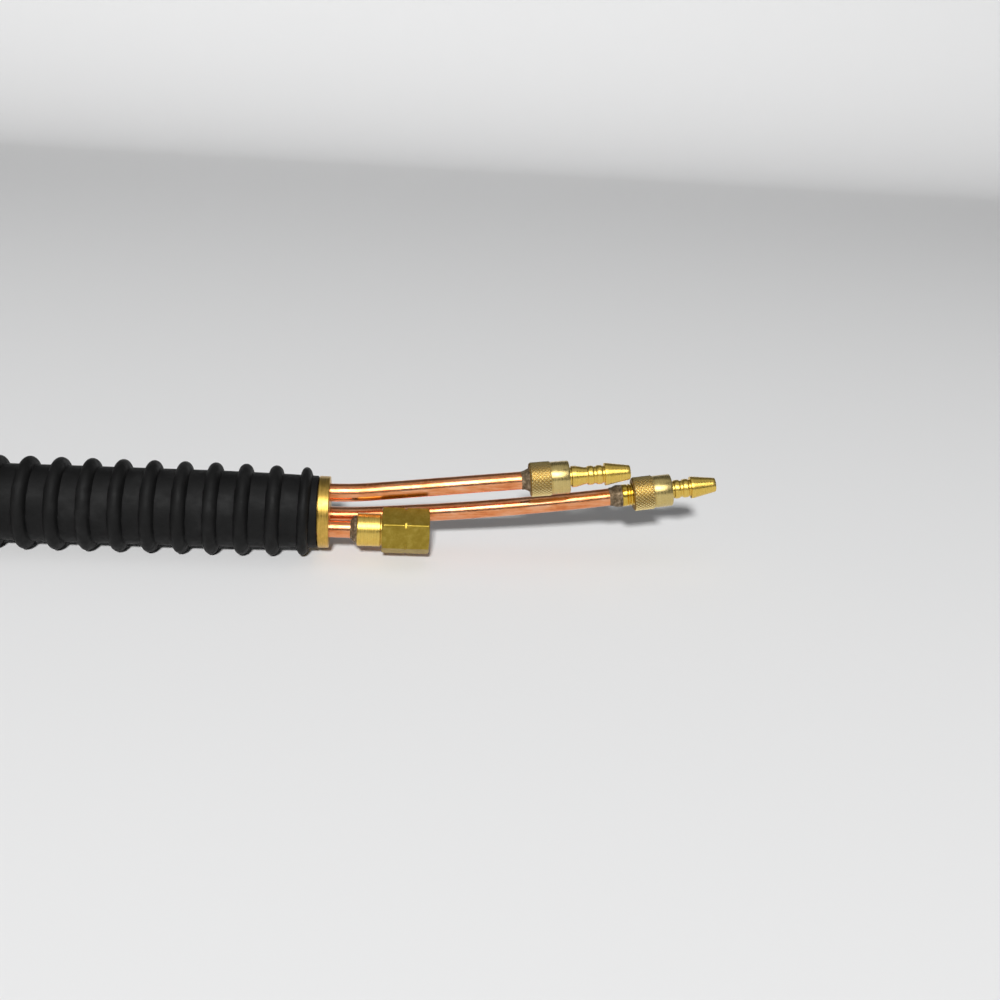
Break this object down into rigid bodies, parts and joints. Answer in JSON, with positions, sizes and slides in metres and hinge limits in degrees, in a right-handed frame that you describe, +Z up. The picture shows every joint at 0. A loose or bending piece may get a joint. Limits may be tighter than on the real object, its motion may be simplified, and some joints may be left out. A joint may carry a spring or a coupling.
{
  "type": "tig torch",
  "caption": "Water-cooled TIG welding torch: ribbed grip, copper tubes, brass hose tails on knurled union nuts, hexagonal power adapter, angled head with ceramic nozzle and long back cap.",
  "frame": {"origin": "centre of the rear cap's rear face, on the handle's axis", "axes": "+X along the handle towards the hose end, +Z up as the torch lies on its ribs, +Y to the back cap's side"},
  "size_m": [0.3743, 0.1705, 0.0381],
  "materials": {
    "black_rubber": "matt, finely grained",
    "phenolic": "satin",
    "black_phenolic": "satin",
    "brass": "turned, satin",
    "bronze": "satin",
    "copper": "drawn, lightly polished",
    "braze": "rough, grey oxide",
    "alumina": "unglazed",
    "ptfe": "waxy",
    "seal_rubber": "satin",
    "tungsten": "ground"
  },
  "bodies": {
    "torch": {"grip_sleeve": "black_rubber", "head_insulation": "black_rubber", "handle_tube": "phenolic", "tube_spacer": "phenolic", "rear_cap": "brass", "power_adapter": "brass", "water_spigot": "brass", "gas_spigot": "brass", "power_tube": "copper", "water_tube": "copper", "gas_tube": "copper", "head_core": "copper", "collet_body": "copper", "power_braze": "braze", "water_braze": "braze", "gas_braze": "braze", "water_tail_seal": "seal_rubber", "gas_tail_seal": "seal_rubber"},
    "water_tail": {"water_tail": "brass"},
    "gas_tail": {"gas_tail": "brass"},
    "water_nut_carrier": {"water_nut_thrust_ring": "bronze"},
    "water_nut": {"water_nut": "brass"},
    "gas_nut_carrier": {"gas_nut_thrust_ring": "bronze"},
    "gas_nut": {"gas_nut": "brass"},
    "back_cap_carrier": {"back_cap_o_ring": "seal_rubber"},
    "back_cap": {"back_cap": "black_phenolic"},
    "nozzle_carrier": {"cup_gasket": "ptfe"},
    "nozzle": {"nozzle": "alumina"},
    "collet": {"collet": "copper"},
    "electrode": {"electrode": "tungsten"}
  },
  "joints": [
    {"name": "water_tail_swivel", "type": "hinge", "parent": "torch", "child": "water_tail", "pos_m": [0.07029, 0, 0.01472], "axis": [0.9932, 0, 0.1167], "continuous": true},
    {"name": "gas_tail_swivel", "type": "hinge", "parent": "torch", "child": "gas_tail", "pos_m": [0.10373, 0.00641, 0.00741], "axis": [0.9874, 0, 0.1582], "continuous": true},
    {"name": "water_nut_travel", "type": "slide", "parent": "torch", "child": "water_nut_carrier", "axis": [0.9932, 0, 0.1167], "range_m": [0, 0.0055]},
    {"name": "water_nut_turn", "type": "hinge", "parent": "water_nut_carrier", "child": "water_nut", "pos_m": [0.07029, 0, 0.01472], "axis": [0.9932, 0, 0.1167], "range_deg": [0, 1980]},
    {"name": "gas_nut_travel", "type": "slide", "parent": "torch", "child": "gas_nut_carrier", "axis": [0.9874, 0, 0.1582], "range_m": [-0.0055, 0]},
    {"name": "gas_nut_turn", "type": "hinge", "parent": "gas_nut_carrier", "child": "gas_nut", "pos_m": [0.10373, 0.00641, 0.00741], "axis": [0.9874, 0, 0.1582], "range_deg": [-1980, 0]},
    {"name": "back_cap_travel", "type": "slide", "parent": "torch", "child": "back_cap_carrier", "axis": [0.342, 0.9295, 0.1379], "range_m": [0, 0.00635]},
    {"name": "back_cap_turn", "type": "hinge", "parent": "back_cap_carrier", "child": "back_cap", "pos_m": [-0.206, 0, 0], "axis": [0.342, 0.9295, 0.1379], "range_deg": [0, 2160]},
    {"name": "collet_slide", "type": "slide", "parent": "torch", "child": "collet", "axis": [0.342, 0.9295, 0.1379], "range_m": [0, 0.00635]},
    {"name": "electrode_slide", "type": "slide", "parent": "collet", "child": "electrode", "axis": [-0.342, -0.9295, -0.1379], "range_m": [-0.004, 0.025]},
    {"name": "nozzle_travel", "type": "slide", "parent": "torch", "child": "nozzle_carrier", "axis": [-0.342, -0.9295, -0.1379], "range_m": [0, 0.00847]},
    {"name": "nozzle_turn", "type": "hinge", "parent": "nozzle_carrier", "child": "nozzle", "pos_m": [-0.206, 0, 0], "axis": [-0.342, -0.9295, -0.1379], "range_deg": [0, 2880]}
  ],
  "couplings": [
    {"joint": "water_nut_travel", "follows": "water_nut_turn", "m_per_rad": 0.00015915},
    {"joint": "gas_nut_travel", "follows": "gas_nut_turn", "m_per_rad": 0.00015915},
    {"joint": "back_cap_travel", "follows": "back_cap_turn", "m_per_rad": 0.00016844},
    {"joint": "collet_slide", "follows": "back_cap_turn", "m_per_rad": 0.00016844},
    {"joint": "nozzle_travel", "follows": "nozzle_turn", "m_per_rad": 0.00016844}
  ]
}
